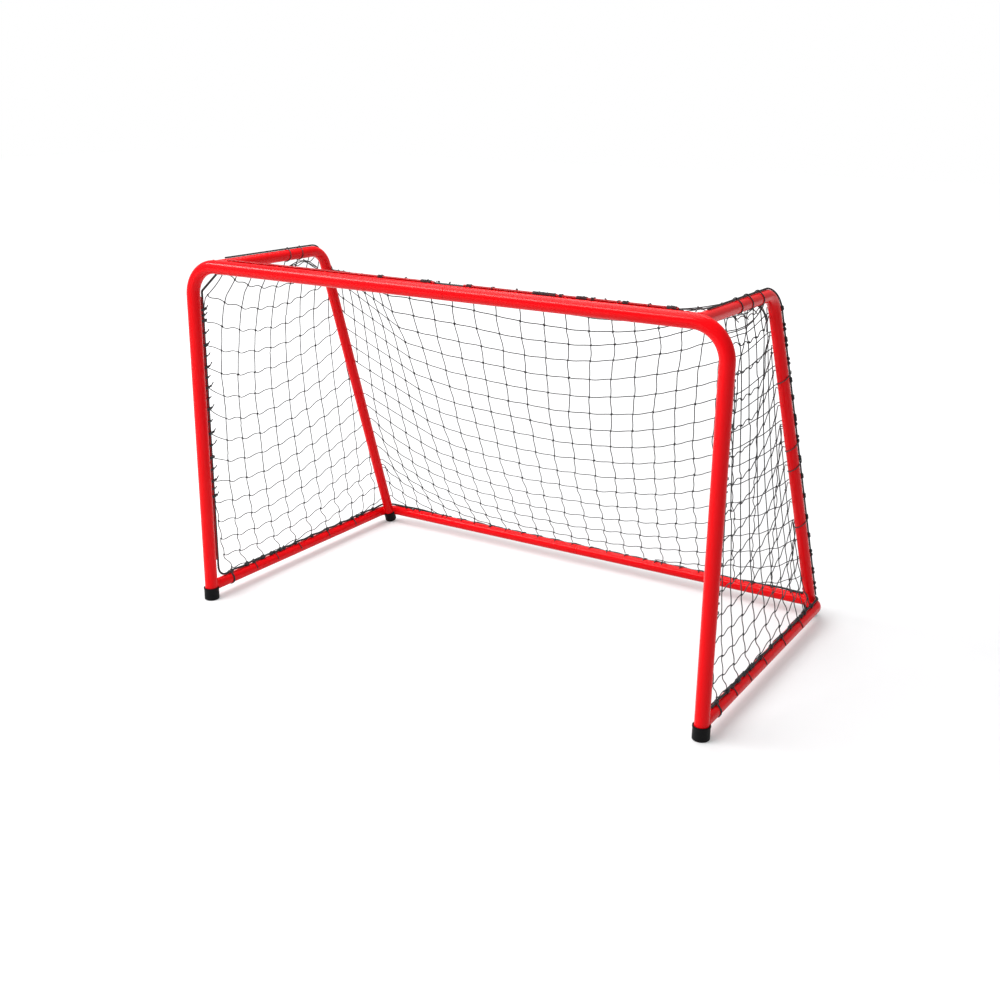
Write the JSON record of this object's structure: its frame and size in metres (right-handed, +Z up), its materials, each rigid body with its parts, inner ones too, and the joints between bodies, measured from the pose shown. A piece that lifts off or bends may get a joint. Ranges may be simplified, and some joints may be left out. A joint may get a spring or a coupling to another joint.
{
  "type": "mini goal",
  "caption": "Small free-standing football goal: a round steel tube frame on rubber feet with a knotted square-mesh net laced behind it.",
  "frame": {"origin": "on the floor, under the middle of the goal's bounding box", "axes": "+X along the crossbar to the goal's right as a player who faces the mouth sees it, +Y from the mouth back to the net, +Z up"},
  "size_m": [0.961, 0.548, 0.6028],
  "materials": {
    "red_paint": "smooth red powder coat with a satin shine, over steel tube",
    "bare_steel": "plain steel, hidden inside the bars",
    "black_rubber": "matt black moulded rubber",
    "black_twine": "thin twisted black net twine, knotted at every crossing",
    "black_cord": "black braided border and seam cord"
  },
  "bodies": {
    "root": {"left_front_tube": "red_paint", "right_front_tube": "red_paint", "crossbar_spigot": "bare_steel", "left_base_tube": "red_paint", "right_base_tube": "red_paint", "back_bar_spigot": "bare_steel", "left_strut": "red_paint", "right_strut": "red_paint", "front_left_cap": "black_rubber", "front_right_cap": "black_rubber", "rear_left_cap": "black_rubber", "rear_right_cap": "black_rubber", "left_post_rail": "red_paint", "right_post_rail": "red_paint", "left_crossbar_rail": "red_paint", "right_crossbar_rail": "red_paint", "border_cord": "black_cord", "left_seam_cord": "black_cord", "right_seam_cord": "black_cord", "left_side_net": "black_twine", "right_side_net": "black_twine", "back_net": "black_twine"}
  },
  "joints": []
}
